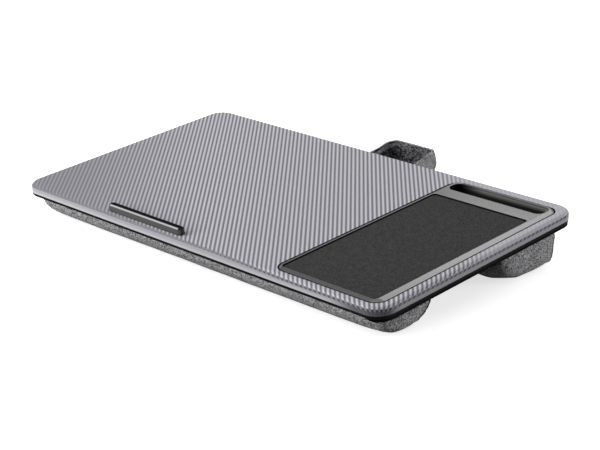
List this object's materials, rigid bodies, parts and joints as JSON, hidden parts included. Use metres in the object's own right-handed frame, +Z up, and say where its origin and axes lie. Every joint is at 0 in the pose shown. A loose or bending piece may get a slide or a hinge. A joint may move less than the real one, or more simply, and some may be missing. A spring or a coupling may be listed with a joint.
{
  "type": "laptop table",
  "caption": "Lap desk with a carbon-look board, a device ledge, an inset mouse pad and phone slot, stuffed bolsters underneath and a swinging carry handle.",
  "frame": {"origin": "on the table under the middle of the whole part's box", "axes": "+X along the front edge to the side with the mouse pad, +Y to the back edge with the carry handle, +Z up"},
  "size_m": [0.536, 0.3654, 0.0596],
  "materials": {
    "carbon_film": "satin film with a woven carbon look",
    "fibreboard": "raw routed fibreboard",
    "black_hardboard": "black painted, matt",
    "tray_plastic": "satin silver paint",
    "pad_foam": "fine closed foam",
    "pad_cloth": "fine tight knit",
    "ledge_plastic": "polished black",
    "zinc_steel": "zinc plated",
    "heather_cloth": "mottled grey jersey",
    "stuffing": "loose polyester fibre",
    "piping_cord": "dark cord",
    "backing_cloth": "plain dark cloth",
    "strap_cloth": "mottled grey jersey, padded"
  },
  "bodies": {
    "desk": {"accessory_tray": "tray_plastic", "base_panel": "black_hardboard", "board_core": "fibreboard", "cushion_backing": "backing_cloth", "device_ledge": "ledge_plastic", "front_bolster_cover": "heather_cloth", "front_bolster_end_left": "heather_cloth", "front_bolster_end_right": "heather_cloth", "front_bolster_fill": "stuffing", "front_bolster_piping_left": "piping_cord", "front_bolster_piping_right": "piping_cord", "handle_tab_left": "strap_cloth", "handle_tab_right": "strap_cloth", "laminate_film": "carbon_film", "ledge_screw_left": "zinc_steel", "ledge_screw_right": "zinc_steel", "mouse_pad_cloth": "pad_cloth", "mouse_pad_foam": "pad_foam", "rear_bolster_cover": "heather_cloth", "rear_bolster_end_left": "heather_cloth", "rear_bolster_end_right": "heather_cloth", "rear_bolster_fill": "stuffing", "rear_bolster_piping_left": "piping_cord", "rear_bolster_piping_right": "piping_cord", "tray_screw_front_left": "zinc_steel", "tray_screw_front_right": "zinc_steel", "tray_screw_rear_left": "zinc_steel", "tray_screw_rear_right": "zinc_steel"},
    "carry_handle": {"handle_strap": "strap_cloth"}
  },
  "joints": [
    {"name": "handle_swing", "type": "hinge", "parent": "desk", "child": "carry_handle", "pos_m": [0, 0.11374, 0.03015], "axis": [1, 0, 0], "range_deg": [-28, 5]}
  ]
}
